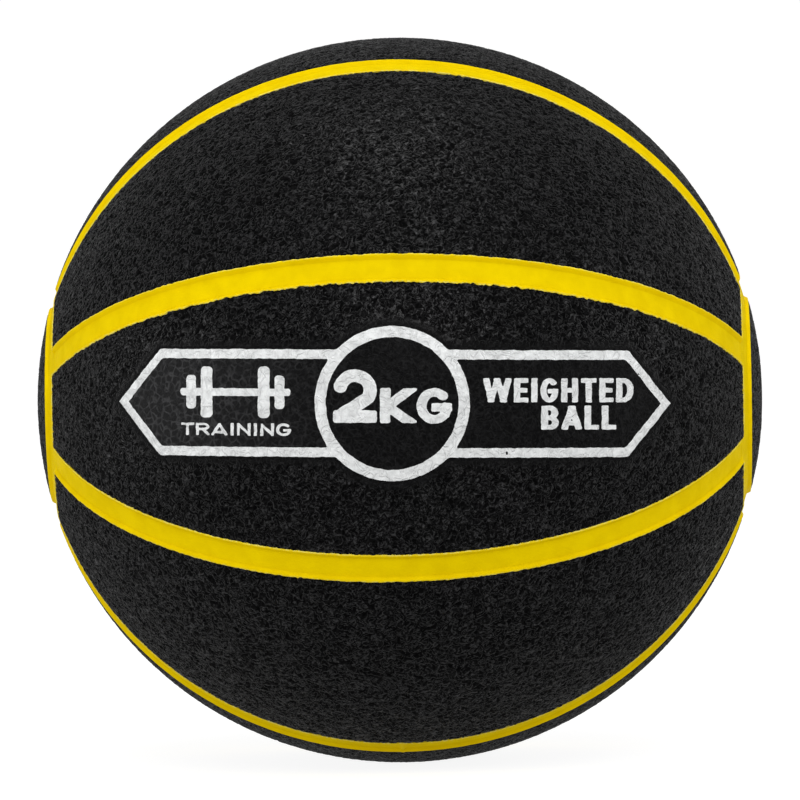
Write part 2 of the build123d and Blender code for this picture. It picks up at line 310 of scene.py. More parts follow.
def cut_sheet(name, distance, reach, step, top, bottom, attributes=None):
    """A thin closed sheet over flat label coordinates. A square grid is kept where the middle of a cell
    lies inside the outline, and the vertices on its border slide along the distance's slope onto the
    outline. top and bottom give the surface points; walls join the two along the border."""
    along = np.arange(reach[0], reach[1] + step, step)
    up = np.arange(reach[2], reach[3] + step, step)
    u, v = np.meshgrid(along, up, indexing="ij")
    mu, mv = np.meshgrid(along[:-1] + step / 2, up[:-1] + step / 2, indexing="ij")
    kept = distance(mu, mv) < 0
    kept[[0, -1]] = False
    kept[:, [0, -1]] = False
    share = np.zeros((u.shape[0] + 1, u.shape[1] + 1), int)
    share[1:-1, 1:-1] = kept
    touching = share[:-1, :-1] + share[1:, :-1] + share[:-1, 1:] + share[1:, 1:]
    border = (touching > 0) & (touching < 4)
    probe, passes, least_slope, most_shift = 0.02 * MM, 2, 0.3, 0.6 * step
    bu, bv = u[border], v[border]
    for _ in range(passes):
        d = distance(bu, bv)
        du = (distance(bu + probe, bv) - distance(bu - probe, bv)) / (2 * probe)
        dv = (distance(bu, bv + probe) - distance(bu, bv - probe)) / (2 * probe)
        size = np.clip(du * du + dv * dv, least_slope, None)
        shift = np.clip(d / size, -most_shift, most_shift)
        bu, bv = bu - shift * du, bv - shift * dv
    u[border], v[border] = bu, bv
    number = np.arange(u.size).reshape(u.shape)
    cells = np.stack([number[:-1, :-1], number[1:, :-1], number[1:, 1:], number[:-1, 1:]], axis=-1)
    upper = cells[kept]
    edges = np.concatenate([upper[:, [k, (k + 1) % 4]] for k in range(4)])
    key = edges[:, 0] * u.size + edges[:, 1]
    back = edges[:, 1] * u.size + edges[:, 0]
    rim = edges[~np.isin(key, back)]
    walls = np.stack([rim[:, 1], rim[:, 0], rim[:, 0] + u.size, rim[:, 1] + u.size], 1)
    quads = np.concatenate([upper, upper[:, ::-1] + u.size, walls])
    used, quads = np.unique(quads, return_inverse=True)
    quads = quads.reshape(-1, 4)
    flat_u, flat_v = u.ravel()[used % u.size], v.ravel()[used % u.size]
    upper_side = (used < u.size)[:, None]
    points = np.where(upper_side, top(flat_u, flat_v), bottom(flat_u, flat_v))
    values = {key: make(flat_u, flat_v) for key, make in (attributes or {}).items()}
    return make_piece(name, points, quads, attributes=values)


# ---------------------------------------------------------------- seams, shared by panels, strips and rings

LIP_SINK = 0.14 * MM          # how far a channel's lips lie below the ball's surface
CHANNEL_SINK = 0.03 * MM      # how far the whole channel is sunk besides
RIM_ROLL = 0.16 * MM          # how far a panel's rim is rolled down
RIM_REACH = 0.8 * MM          # and from how far in
NUB_SIZE, NUB_REACH = 0.55 * MM, 0.9 * MM      # moulding nub in the middle of the lowest front channel
BRIDGE_SHARE, BRIDGE_REACH = 0.75, 0.55 * MM   # and the bridge of rubber that crosses the channel there
SEAM_TEETH = 0.22 * MM
FRONT_TEETH = {(FRONT_HIGH, -1): 0.44 * MM, (FRONT_LOW, 1): 0.16 * MM}


def edge_wobble(distance_along, lane, teeth):
    """How far a trimmed edge strays: fine teeth, a slow drift, and now and then a nub of stray rubber."""
    at = np.stack(np.broadcast_arrays(distance_along, lane * 7.31 * MM, 0.37 * MM), axis=-1)
    fine = teeth * lattice_noise(at / (0.85 * MM), 41)
    slow = 0.07 * MM * lattice_noise(at / (7 * MM), 42)
    nubs = smooth_step(0.62, 0.85, lattice_noise(at / (1.7 * MM), 43)) * (0.12 * MM + teeth)
    return fine + slow + nubs


def seam_turn(sizes, seam):
    """Turn of the seam after a panel: the front panel is a little wider than the other seven."""
    return sizes.front_panel / 2 + seam * (tau - sizes.front_panel) / (PANELS - 1)


def seam_edge(sizes, seam, side, polar):
    """Distance of a channel's edge from the seam's middle, on its lower (-1) or upper (+1) side."""
    seam %= PANELS
    teeth = FRONT_TEETH.get((seam, side), SEAM_TEETH)
    along = sizes.radius * polar
    edge = sizes.channel_half + edge_wobble(along, 2 * seam + (side + 1) // 2 + 0.5, teeth)
    if seam == BOTTOM_FRONT:
        edge = edge + NUB_SIZE * np.exp(-((along - sizes.radius * pi / 2) / NUB_REACH) ** 2)
    return edge


def ring_edge(sizes, turn, pole, side):
    """Polar angle of a ring channel's edge on the cap's (-1) or the panels' (+1) side."""
    inner = sizes.ring_polar + side * sizes.channel_half / sizes.radius
    along = np.stack([np.cos(turn), np.sin(turn), np.full_like(turn, 0.4 * pole + 0.1 * side)], axis=-1)
    reach = sizes.radius * sin(inner)
    wobble = 0.14 * MM * lattice_noise(along * reach / (0.9 * MM), 44)
    wobble += 0.07 * MM * lattice_noise(along * reach / (6 * MM), 45)
    return inner + side * wobble / sizes.radius


def channel_drop(sizes, offset):
    """Depth of a channel at an offset from its middle: a flat floor and two smooth sloping walls."""
    wall = smooth_step(sizes.floor_edge - 0.1 * MM, sizes.lip_edge + 0.05 * MM, np.abs(offset))
    return sizes.channel_depth * (1 - wall)


def channel_stations(sizes):
    """Offsets across a channel, closer together on its lips and walls, 23 in all."""
    half = np.array([0.0, 0.25, 0.5, 0.75, 0.9, 1.0])
    floor = sizes.floor_edge * half[:-1]
    rise = np.linspace(sizes.floor_edge, sizes.lip_edge, 5)
    side = np.concatenate([floor, rise, [(sizes.lip_edge + sizes.channel_half) / 2, sizes.channel_half]])
    return np.concatenate([-side[:0:-1], side])


def lip_values(sizes, offset, shown):
    """Masks along a channel for its finish: "rim" on the lips, for a painted highlight, and "foot" at the
    foot of the walls, for painted shade in the crease there.
    """
    rim = shown * smooth_step(0.9 * sizes.channel_half, sizes.channel_half, offset)
    # painted shade along the foot of the walls, where the floor meets them
    foot = shown * np.exp(-((offset - sizes.floor_edge) / (0.22 * MM)) ** 2)
    return {"rim": rim, "foot": foot}


def yellow_drop(points):
    """How far the channels' smooth but slightly uneven rubber lies below its drawn section."""
    slow = 0.035 * MM * lattice_noise(points / (2.4 * MM), 51)
    fine = 0.015 * MM * lattice_noise(points / (0.8 * MM), 52)
    return slow + fine + CHANNEL_SINK


PANEL_ROWS = 480
PANEL_COLUMNS = 145
INNER_COLUMNS = 9
RING_FIT = 0.03               # share of a panel's length, at each end, that follows the ring's edge
PRESS_START, PRESS_END = -2.6 * MM, -0.2 * MM       # rubber pressed flat outside the label's film,
PRESS_SHARE, PRESS_DROP = 0.7, 0.10 * MM            # how much of its relief is lost, and how deep it lies
POCKET_START, POCKET_END = 0.05 * MM, 0.75 * MM     # wall of the pocket under the film
POCKET_DEPTH = 0.34 * MM


def panel_piece(sizes, finish, label, count):
    """One gore panel: rows run from ring to ring by polar angle and columns from seam to seam by turn.
    Its radius is the ball's less the grain's pits, and the rim is rolled down a little at its edges."""
    share = np.linspace(0, 1, PANEL_ROWS)[:, None]
    across = np.linspace(-1, 1, PANEL_COLUMNS)[None, :]
    end = sizes.ring_polar + sizes.channel_half / sizes.radius
    polar = end + (pi - 2 * end) * share
    before = seam_turn(sizes, count - 1) if count else -sizes.front_panel / 2
    spread = sizes.radius * np.sin(polar)
    low = before + np.arcsin(seam_edge(sizes, count - 1, 1, polar) / spread)
    high = seam_turn(sizes, count) - np.arcsin(seam_edge(sizes, count, -1, polar) / spread)
    turn = low + (high - low) * (across + 1) / 2
    first = ring_edge(sizes, turn[0], 1, 1)
    last = pi - ring_edge(sizes, turn[-1], -1, 1)
    near_first = smooth_step(RING_FIT, 0, share)
    near_last = smooth_step(1 - RING_FIT, 1, share)
    polar = polar + (first - end)[None, :] * near_first + (last - pi + end)[None, :] * near_last
    points = ball_points(sizes.radius, polar, turn)
    crest = grain_crest(points, finish.grain_size)
    drop = finish.grain_depth * (1 - crest)
    to_side = (1 - np.abs(across)) * (high - low) / 2 * spread
    to_end = np.minimum(polar - polar[0], polar[-1] - polar) * sizes.radius
    rim = np.minimum(to_side, to_end)
    drop = drop + RIM_ROLL * smooth_step(RIM_REACH, 0, rim)
    pressed = np.zeros_like(drop)
    if count == 0:
        u, v, _ = label_coordinates(label, sizes, points)
        inside = -film_distance(label, u, v)
        pressed = smooth_step(PRESS_START, PRESS_END, inside)
        drop = drop * (1 - PRESS_SHARE * pressed) + PRESS_DROP * pressed
        pocket = smooth_step(POCKET_START, POCKET_END, inside)
        drop = drop * (1 - pocket) + POCKET_DEPTH * pocket
    outer = ball_points(sizes.radius - drop, polar, turn)
    picked = np.linspace(0, PANEL_COLUMNS - 1, INNER_COLUMNS).astype(int)
    inner = ball_points(sizes.radius - sizes.cover, polar[:, picked], turn[:, picked])
    name = "panel_" + PANEL_NAMES[count].removeprefix("cover_panel_")
    return slab_piece(name, outer, inner, {"crest": crest, "pressed": pressed})


def strip_piece(sizes, count):
    """One seam strip: a channel section carried from ring to ring along a meridian. Across it, a point's
    offset from the meridian plane is kept, so the channel stays the same width all along."""
    end = sizes.ring_polar + sizes.channel_half / sizes.radius
    polar = np.linspace(end, pi - end, PANEL_ROWS)[:, None]
    station = channel_stations(sizes)[None, :]
    low = -seam_edge(sizes, count, -1, polar)
    high = seam_edge(sizes, count, 1, polar)
    outer_part = smooth_step(sizes.lip_edge, sizes.channel_half, np.abs(station))
    edge = np.where(station < 0, low + sizes.channel_half, high - sizes.channel_half)
    offset = station + edge * (0.35 + 0.65 * outer_part) * (np.abs(station) >= sizes.floor_edge)
    drop = channel_drop(sizes, station) + LIP_SINK * outer_part
    if count == BOTTOM_FRONT:
        along = sizes.radius * (polar - pi / 2)
        drop = drop * (1 - BRIDGE_SHARE * np.exp(-(along / BRIDGE_REACH) ** 2))
    middle = seam_turn(sizes, count)
    spread = sizes.radius * np.sin(polar)
    turn = middle + np.arcsin(offset / spread)
    points = ball_points(sizes.radius, polar, turn)
    outer = ball_points(sizes.radius - drop - yellow_drop(points), polar, turn)
    inner_turn = middle + np.arcsin(np.concatenate([low, 0 * low, high], axis=1) / spread)
    inner = ball_points(sizes.radius - sizes.cover, polar, inner_turn)
    name = "channel_" + STRIP_NAMES[count].removeprefix("seam_strip_")
    values = lip_values(sizes, np.broadcast_to(np.abs(station), outer.shape[:2]), 1.0)
    return slab_piece(name, outer, inner, values)


RING_STEPS = 640
RING_STATIONS = 41
INNER_STRIDE = 20             # every so many columns of a ring or cap has one on its inner face


def ring_piece(sizes, pole, name):
    """One ring channel: the same section carried round a cone about the pole axis. On its panel side the
    eight seam channels run in, so the depth there is the deeper of the two channels."""
    turn = np.linspace(0, tau, RING_STEPS, endpoint=False)[:, None]
    station = np.linspace(-sizes.channel_half, sizes.channel_half, RING_STATIONS)[None, :]
    polar = sizes.ring_polar + station / sizes.radius + 0 * turn
    cap_side = ring_edge(sizes, turn[:, 0], pole, -1)[:, None] - polar[:, :1]
    panel_side = ring_edge(sizes, turn[:, 0], pole, 1)[:, None] - polar[:, -1:]
    polar = polar + cap_side * smooth_step(-0.8, -1, station / sizes.channel_half)
    polar = polar + panel_side * smooth_step(0.8, 1, station / sizes.channel_half)
    seams = np.array([seam_turn(sizes, count) for count in range(PANELS)])
    nearest = np.abs((turn - seams + pi) % tau - pi).min(axis=1)[:, None]
    seam_offset = sizes.radius * np.sin(polar) * np.sin(nearest)
    drop = channel_drop(sizes, station) + 0 * turn
    drop = np.where(station > 0, np.maximum(drop, channel_drop(sizes, seam_offset)), drop)
    drop = drop + LIP_SINK * smooth_step(sizes.lip_edge, sizes.channel_half, np.abs(station))
    true_polar = polar if pole > 0 else pi - polar
    points = ball_points(sizes.radius, true_polar, turn)
    outer = ball_points(sizes.radius - drop - yellow_drop(points), true_polar, turn)
    inner = ball_points(sizes.radius - sizes.cover, true_polar[:, ::INNER_STRIDE], turn)
    open_end = smooth_step(sizes.channel_half, sizes.floor_edge, seam_offset) * (station > 0)
    values = lip_values(sizes, np.abs(station) + 0 * turn, 1 - open_end)
    return slab_piece(name, outer, inner, values, ring=True, turned=pole > 0)


CAP_STEPS = 400
CAP_RINGS = 61
MOUTH_START, MOUTH_END = 2.2 * MM, 0.4 * MM         # smooth rim round the valve, by distance from its hole
MOUTH_DROP = 0.1 * MM


def cap_piece(sizes, finish, pole, name):
    """One round cap inside a ring: rings of points from the middle, or from the valve's hole, out to the
    ring channel's edge, with the same grain as the panels."""
    turn = np.linspace(0, tau, CAP_STEPS, endpoint=False)[:, None]
    share = np.linspace(0, 1, CAP_RINGS)[None, :]
    start = asin(sizes.neck_hole / sizes.radius) if pole > 0 else 0.0
    edge = ring_edge(sizes, turn[:, 0], pole, -1)[:, None]
    polar = start + (edge - start) * share
    true_polar = polar if pole > 0 else pi - polar
    points = ball_points(sizes.radius, true_polar, turn)
    crest = grain_crest(points, finish.grain_size)
    rim = (edge - polar) * sizes.radius
    drop = finish.grain_depth * (1 - crest) + RIM_ROLL * smooth_step(RIM_REACH, 0, rim)
    if pole > 0:
        mouth = smooth_step(MOUTH_START, MOUTH_END, (polar - start) * sizes.radius)
        drop = drop * (1 - mouth) + MOUTH_DROP * mouth
    outer = ball_points(sizes.radius - drop, true_polar, turn)
    inner = ball_points(sizes.radius - sizes.cover, true_polar[:, ::INNER_STRIDE], turn)
    return slab_piece(name, outer, inner, {"crest": crest}, ring=True, turned=pole > 0, merge=True)


# ---------------------------------------------------------------- label

def label_axes(label, sizes):
    """Along, up and outward directions at the middle of the label."""
    rise = label.lift / sizes.radius
    outward = Vector((0, -cos(rise), sin(rise)))
    along = Vector((1, 0, 0))
    along.rotate(Matrix.Rotation(label.turn, 3, outward))
    return np.array(along), np.array(outward.cross(along)), np.array(outward)


def label_coordinates(label, sizes, points):
    along, up, outward = label_axes(label, sizes)
    return (np.where(points @ outward > 0, points @ along, 1.0), points @ up, points @ outward)


def on_label(label, sizes, u, v, depth):
    """The point over flat label coordinates at a depth below the ball's surface."""
    along, up, outward = label_axes(label, sizes)
    radius = sizes.radius - depth
    height = np.sqrt(np.clip(radius * radius - u * u - v * v, 0, None))
    return u[:, None] * along + v[:, None] * up + height[:, None] * outward


def pointed_bar(label, u, v, inset, point_inset):
    """Distance to the long label shape: flat along its top and bottom, with a point at each end."""
    slope = (label.half_length - label.shoulder) / label.half_height
    stretch = sqrt(1 + slope * slope)
    ends = (np.abs(u) + slope * np.abs(v) - label.half_length) / stretch + point_inset
    return smooth_max(np.abs(v) - label.half_height + inset, ends, 0.5 * MM)


def film_distance(label, u, v):
    disc = np.hypot(u, v) - label.ring_radius - label.margin
    return np.minimum(pointed_bar(label, u, v, -label.margin, -label.margin), disc)


def frame_distance(label, u, v):
    """Distance to the printed frame: the bar's outline with a ring laid over its middle."""
    round_off = np.hypot(u, v)
    outline = smooth_max(
        pointed_bar(label, u, v, 0, 0), -pointed_bar(label, u, v, label.line, label.point_line), 0.2 * MM)
    joined = smooth_min(outline, round_off - label.ring_radius, 0.5 * MM)
    hollow = label.ring_radius - label.ring_line - round_off
    printed = smooth_max(joined, hollow, 0.2 * MM) + print_wobble(u, v)
    nick = np.hypot((u - 28.6 * MM) / 0.6, v + 12.3 * MM) - 0.45 * MM
    return np.maximum(printed, -nick)


def print_wobble(u, v):
    at = np.stack([u, v, np.full_like(u, 0.2 * MM)], axis=-1)
    return 0.09 * MM * lattice_noise(at / (1.0 * MM), 61) + 0.12 * MM * lattice_noise(at / (2.1 * MM), 63)


def film_depth(label, sizes, finish, u, v):
    """Depth of the film's face below the ball's surface: soft bumps, with the grain telegraphing through."""
    points = on_label(label, sizes, u, v, 0.0)
    crest = grain_crest(points, finish.grain_size)
    bumps = lattice_noise(points / (1.6 * MM), 62)
    return 0.11 * MM - 0.07 * MM * bumps + 0.08 * MM * (1 - crest)


def arc_line(centre, radius, first, last, count=14):
    """Points along an arc, by angle in degrees; the radius may differ across and up."""
    angle = np.radians(np.linspace(first, last, count))
    wide, high = radius if isinstance(radius, tuple) else (radius, radius)
    return [(centre[0] + wide * cos(a), centre[1] + high * sin(a)) for a in angle]


def letter_lines(letter, w, h, s):
    """The middle lines of a letter's strokes in a box w wide and h high, for strokes s wide; l, r, b, t and
    m are its left, right, bottom, top and middle, half a stroke in."""
    l, r, b, t, m = s / 2, w - s / 2, s / 2, h - s / 2, h / 2
    if letter == "2":
        foot = (l + 0.1 * s, b + 0.1 * s)
        round_top = arc_line((w / 2, t - (w - s) / 2), (w - s) / 2, 165, -32)
        slope = np.array(foot) - round_top[-1]
        joined = tuple(round_top[-1] + 0.42 * s * slope / np.hypot(*slope))
        return [round_top + [joined, foot], [(l, b), (r, b)]]
    left_side, right_side = [(l, b), (l, t)], [(r, b), (r, t)]
    half, near, bar = w * 0.5, (t - m) / 2, m - 0.04 * h
    upper = arc_line((half, (t + m) / 2), (r - half, near), 90, -90)
    smaller = arc_line((half, (t + m) / 2), (r - half - 0.04 * w, near), 90, -90)
    lower = arc_line((half, (b + m) / 2), (r - half, (m - b) / 2), 90, -90)
    bulge = arc_line((w * 0.42, m), (r - w * 0.42, m - b), 90, -90)
    bowl = arc_line((half, m), ((w - s) / 2, (h - s) / 2), 48, 330, 24)
    letters = {
        "K": [left_side, [(r + 0.1 * w, h * 1.08), (l + 0.2 * s, m * 0.94), (r + 0.1 * w, -0.08 * h)]],
        "G": [bowl + [(r, bar)], [(w * 0.56, bar), (r, bar)]],
        "W": [[(l, t), (w * 0.28, b), (half, t), (w * 0.72, b), (r, t)]],
        "E": [[(r, t), (l, t), (l, b), (r, b)], [(l, m), (r - 0.05 * w, m)]],
        "I": [[(half, b), (half, t)]],
        "H": [left_side, right_side, [(l, m), (r, m)]],
        "T": [[(l, t), (r, t)], [(half, b), (half, t)]],
        "D": [left_side + bulge + [(l, b)]],
        "B": [left_side + smaller + [(l, m)], lower + [(l, b)]],
        "A": [[(l, b), (half, t), (r, b)], [(w * 0.27, h * 0.27), (w * 0.73, h * 0.27)]],
        "L": [[(l, t), (l, b), (r, b)]],
        "R": [left_side + upper + [(l, m)], [(half, m), (r, b)]],
        "N": [left_side + [(r, b), (r, t)]],
    }
    return letters[letter]


# widths of the letters against each other
LETTER_WIDTH = {
    "I": 0.38, "W": 1.55, "E": 0.8, "L": 0.76, "T": 0.88, "G": 1.0, "H": 0.95, "D": 0.98, "B": 0.92,
    "A": 1.06,
}
PLAIN_WIDTH = 0.9             # and of any letter that isn't listed
LETTER_GAP = 0.16             # gap between letters, as a share of a letter's mean width
FAR = 1.0                     # farther than any point of the label


def word_distance(word, left, right, low, high, stroke, flatness, u, v):
    """Distance to a word's letters, fitted between two sides with even gaps. Each is drawn in a space
    stretched upward, which leaves its level strokes thinner than its upright ones, and cut to its box."""
    widths = np.array([LETTER_WIDTH.get(letter, PLAIN_WIDTH) for letter in word])
    gap = LETTER_GAP * sum(widths) / len(word)
    scale = (right - left) / (sum(widths) + gap * (len(word) - 1))
    height = (high - low) * flatness
    nearest, at = np.full(u.shape, FAR), left
    for letter, width in zip(word, widths * scale):
        across, up = u - at * MM, (v - low * MM) * flatness
        strokes = stroke_distance(letter_lines(letter, width, height, stroke), stroke, across, up)
        box = plate_distance((width / 2, height / 2), width / 2, height / 2, 0.12 * stroke, across, up)
        nearest = np.minimum(nearest, np.maximum(strokes, box))
        at += width + gap * scale
    return nearest


def stroke_distance(lines, stroke, u, v):
    """Distance to a letter's strokes. A short piece of line, part of a curve, is a round-ended bar, and a
    long one is a square bar with its corners eased, which runs half a stroke past its ends."""
    starts = np.concatenate([np.array(line[:-1]) for line in lines]) * MM
    ends = np.concatenate([np.array(line[1:]) for line in lines]) * MM
    half = stroke * MM / 2
    nearest = np.full(u.shape, FAR)
    for start, end in zip(starts, ends):
        run = end - start
        reach = sqrt(run @ run)
        middle, run = (start + end) / 2, run / max(reach, 1e-9)
        lengthwise = np.abs((u - middle[0]) * run[0] + (v - middle[1]) * run[1])
        sideways = np.abs((v - middle[1]) * run[0] - (u - middle[0]) * run[1])
        ease = 0.35 * half if reach > 0.9 * half else half
        beyond = np.clip(lengthwise - reach / 2 - half + ease, 0, None)
        beside = np.clip(sideways - half + ease, 0, None)
        nearest = np.minimum(nearest, np.hypot(beyond, beside) - ease)
    return nearest


def plate_distance(middle, half_width, half_height, corner, u, v):
    """Distance to an upright plate with rounded corners, in millimetres from the label's middle."""
    du = np.abs(u - middle[0] * MM) - (half_width - corner) * MM
    dv = np.abs(v - middle[1] * MM) - (half_height - corner) * MM
    outside = np.hypot(np.clip(du, 0, None), np.clip(dv, 0, None))
    return outside + np.minimum(np.maximum(du, dv), 0) - corner * MM


def dumbbell_distance(u, v):
    """A plain dumbbell: a bar, and two round-cornered plates at each end."""
    across, up = -39.5, 2.65
    shapes = [plate_distance((across, up), 14.1, 0.95, 0.7, u, v)]
    for side in (-1, 1):
        shapes.append(plate_distance((across + side * 7.3, up), 1.5, 6.4, 1.0, u, v))
        shapes.append(plate_distance((across + side * 11.3, up), 1.25, 4.2, 0.9, u, v))
    return np.minimum.reduce(shapes)


# each mark's words: letters, left, right, low and high sides, stroke width, and how much flatter the
# level strokes are; in millimetres from the label's middle
MARKS = {
    "label_number": [("2", -14.7, -3.8, -4.83, 8.49, 3.3, 1.05)],
    "label_unit": [("K", -3.0, 6.17, -4.8, 3.88, 2.6, 1.1), ("G", 6.1, 14.94, -5.0, 3.91, 2.55, 1.2)],
    "label_words": [
        ("WEIGHTED", 22.65, 60.32, 0.38, 6.43, 1.58, 1.35), ("BALL", 37.15, 55.96, -6.44, -0.45, 1.7, 1.45)],
    "label_caption": [("TRAINING", -53.4, -25.2, -8.25, -5.1, 0.75, 1.2)],
}


def mark_distance(words, u, v):
    """Distance to all the words of one mark, with the print's uneven edge."""
    return np.minimum.reduce([word_distance(*word, u, v) for word in words]) + print_wobble(u, v)


# ---------------------------------------------------------------- finishes

def add_node(tree, kind, values=None, **settings):
    """A shader node with its settings, and its inputs set to plain values or linked to other sockets."""
    node = tree.nodes.new("ShaderNode" + kind)
    for key, value in settings.items():
        setattr(node, key, value)
    for key, value in (values or {}).items():
        if isinstance(value, bpy.types.NodeSocket):
            tree.links.new(value, node.inputs[key])
        else:
            node.inputs[key].default_value = value
    return node


def reckon(tree, operation, first, second=0.0, clamp=False):
    """The output of a sum on two values or sockets."""
    node = add_node(tree, "Math", {0: first, 1: second}, operation=operation, use_clamp=clamp)
    return node.outputs[0]


def weigh(tree, *terms):
    """The sum of values, each times its weight, held between 0 and 1."""
    total = 0.0
    for value, weight in terms:
        total = reckon(tree, "ADD", reckon(tree, "MULTIPLY", value, weight), total, clamp=True)
    return total


def mark(tree, attribute):
    """The value a mesh carries at each vertex for its finish."""
    return add_node(tree, "Attribute", attribute_name=attribute).outputs["Fac"]


def ramp(tree, value, low, high, to_low=0.0, to_high=1.0, smooth=False):
    """A value's place between low and high, carried over to another range."""
    kind = "SMOOTHSTEP" if smooth else "LINEAR"
    node = add_node(tree, "MapRange", {
        "Value": value, "From Min": low, "From Max": high, "To Min": to_low, "To Max": to_high},
        interpolation_type=kind)
    return node.outputs[0]


def mix_colours(tree, share, first, second):
    """The first colour where the share is 0 and the second where it is 1."""
    node = add_node(tree, "Mix", {0: share, 6: first, 7: second}, data_type="RGBA")
    return node.outputs[2]


def darker(shade, share):
    return tuple(part * share for part in shade[:3]) + (1,)


def new_group(name, inputs, outputs):
    tree = bpy.data.node_groups.new(name, "ShaderNodeTree")
    for socket, kind in inputs:
        tree.interface.new_socket(socket, in_out="INPUT", socket_type="NodeSocket" + kind)
    for socket, kind in outputs:
        tree.interface.new_socket(socket, in_out="OUTPUT", socket_type="NodeSocket" + kind)
    return tree, tree.nodes.new("NodeGroupInput"), tree.nodes.new("NodeGroupOutput")


def worm_grain_group():
    """Fine curved ridges where a bent noise crosses its middle value, over finer lumps."""
    tree, entry, result = new_group(
        "worm_grain", [("Vector", "Vector"), ("Scale", "Float"), ("Ridge width", "Float")],
        [("Ridges", "Float"), ("Height", "Float")])
    noise = add_node(tree, "TexNoise", {
        "Vector": entry.outputs["Vector"], "Scale": entry.outputs["Scale"], "Detail": 1.0,
        "Roughness": 0.5, "Distortion": 1.2})
    away = reckon(tree, "ABSOLUTE", reckon(tree, "SUBTRACT", noise.outputs[0], 0.5))
    ridges = ramp(tree, away, 0.0, entry.outputs["Ridge width"], 1.0, 0.0, smooth=True)
    fine = add_node(tree, "TexNoise", {
        "Vector": entry.outputs["Vector"], "Scale": reckon(tree, "MULTIPLY", entry.outputs["Scale"], 2.6),
        "Detail": 2.0, "Roughness": 0.6})
    lumps = ramp(tree, fine.outputs[0], 0.32, 0.68)
    height = weigh(tree, (ridges, 0.6), (lumps, 0.4))
    tree.links.new(ridges, result.inputs["Ridges"])
    tree.links.new(height, result.inputs["Height"])
    return tree


CREASE_BEND = 0.9 * MM


def crease_group():
    """Thin lines round cells about as big as the grain's, wavering in strength."""
    tree, entry, result = new_group(
        "crease_net", [("Vector", "Vector"), ("Scale", "Float")], [("Lines", "Float")])
    bend = add_node(tree, "TexNoise", {
        "Vector": entry.outputs["Vector"], "Scale": entry.outputs["Scale"], "Detail": 1.0})
    shift = add_node(tree, "VectorMath", {
        0: bend.outputs["Color"], 1: (CREASE_BEND,) * 3}, operation="MULTIPLY")
    bent = add_node(tree, "VectorMath", {
        0: entry.outputs["Vector"], 1: shift.outputs[0]}, operation="ADD")
    cells = add_node(tree, "TexVoronoi", {
        "Vector": bent.outputs[0], "Scale": entry.outputs["Scale"]}, feature="DISTANCE_TO_EDGE")
    line = ramp(tree, cells.outputs["Distance"], 0.02, 0.16, 1.0, 0.0, smooth=True)
    strength = ramp(tree, bend.outputs[0], 0.30, 0.58)
    tree.links.new(reckon(tree, "MULTIPLY", line, strength), result.inputs["Lines"])
    return tree


def mottle_group():
    """Slow patches over the ball, from 0 to 1."""
    tree, entry, result = new_group(
        "slow_mottle", [("Vector", "Vector"), ("Scale", "Float")], [("Mask", "Float")])
    noise = add_node(tree, "TexNoise", {
        "Vector": entry.outputs["Vector"], "Scale": entry.outputs["Scale"], "Detail": 3.0})
    tree.links.new(ramp(tree, noise.outputs[0], 0.35, 0.65), result.inputs["Mask"])
    return tree


GROUP_MAKERS = {"worm_grain": worm_grain_group, "slow_mottle": mottle_group, "crease_net": crease_group}


def use_group(tree, name, **values):
    """A shared node group in a material's tree, made the first time it is asked for."""
    group = bpy.data.node_groups.get(name) or GROUP_MAKERS[name]()
    values = {key.replace("_", " "): value for key, value in values.items()}
    return add_node(tree, "Group", values, node_tree=group)


def new_material(name, **constants):
    """A material with its Principled shader's plain values set, and the object's own coordinates."""
    material = bpy.data.materials.new(name)
    material.use_nodes = True
    tree = material.node_tree
    shader = tree.nodes["Principled BSDF"]
    for key, value in constants.items():
        shader.inputs[key.replace("_", " ")].default_value = value
    where = add_node(tree, "TexCoord").outputs["Object"]
    return material, tree, shader, where


def link_surface(tree, shader, base, rough, height, depth):
    """Links a shader's colour, its roughness and a bump of some depth. The roughness is given as a value
    from 0 to 1 and what it comes to at each end."""
    bump = add_node(tree, "Bump", {"Height": height, "Distance": depth, "Strength": 1.0})
    value, smooth, dull = rough
    tree.links.new(base, shader.inputs["Base Color"])
    tree.links.new(ramp(tree, value, 0.0, 1.0, smooth, dull), shader.inputs["Roughness"])
    tree.links.new(bump.outputs["Normal"], shader.inputs["Normal"])


def black_rubber(finish):
    """Moulded black rubber. The ridges are painted paler than the pits, as painted highlight on the ridges
    and painted shade in the pits, and have more coat, so they are shinier; the painted contrast is lessened
    and the surface is flatter where it was pressed round the label."""
    material, tree, shader, where = new_material(
        "black_rubber", Specular_IOR_Level=0.02, IOR=1.5, Sheen_Weight=0.15, Sheen_Roughness=0.25,
        Coat_Roughness=0.34, Coat_IOR=1.5)
    grain = use_group(tree, "worm_grain", Vector=where, Scale=620.0, Ridge_width=0.085)
    mottle = use_group(tree, "slow_mottle", Vector=where, Scale=26.0)
    mixed = weigh(tree, (mark(tree, "crest"), 0.35), (grain.outputs["Height"], 0.65))
    flattened = reckon(tree, "MULTIPLY", mark(tree, "pressed"), reckon(tree, "SUBTRACT", 0.5, mixed))
    shown = reckon(tree, "ADD", mixed, reckon(tree, "MULTIPLY", flattened, 0.65))
    raised = reckon(tree, "POWER", shown, 3.0)
    tree.links.new(reckon(tree, "MULTIPLY", raised, 0.85), shader.inputs["Coat Weight"])
    # Base colour from the shaded pit black to the lit ridge black: painted shade in the pits, painted
    # highlight on the ridges
    high = mix_colours(
        tree, mottle.outputs["Mask"], tuple(finish.black_lit_ridges), darker(finish.black_lit_ridges, 0.75))
    base = mix_colours(tree, raised, tuple(finish.black_shaded_pits), high)
    link_surface(tree, shader, base, (raised, 0.72, 0.46), grain.outputs["Height"], 0.22 * MM)
    return material


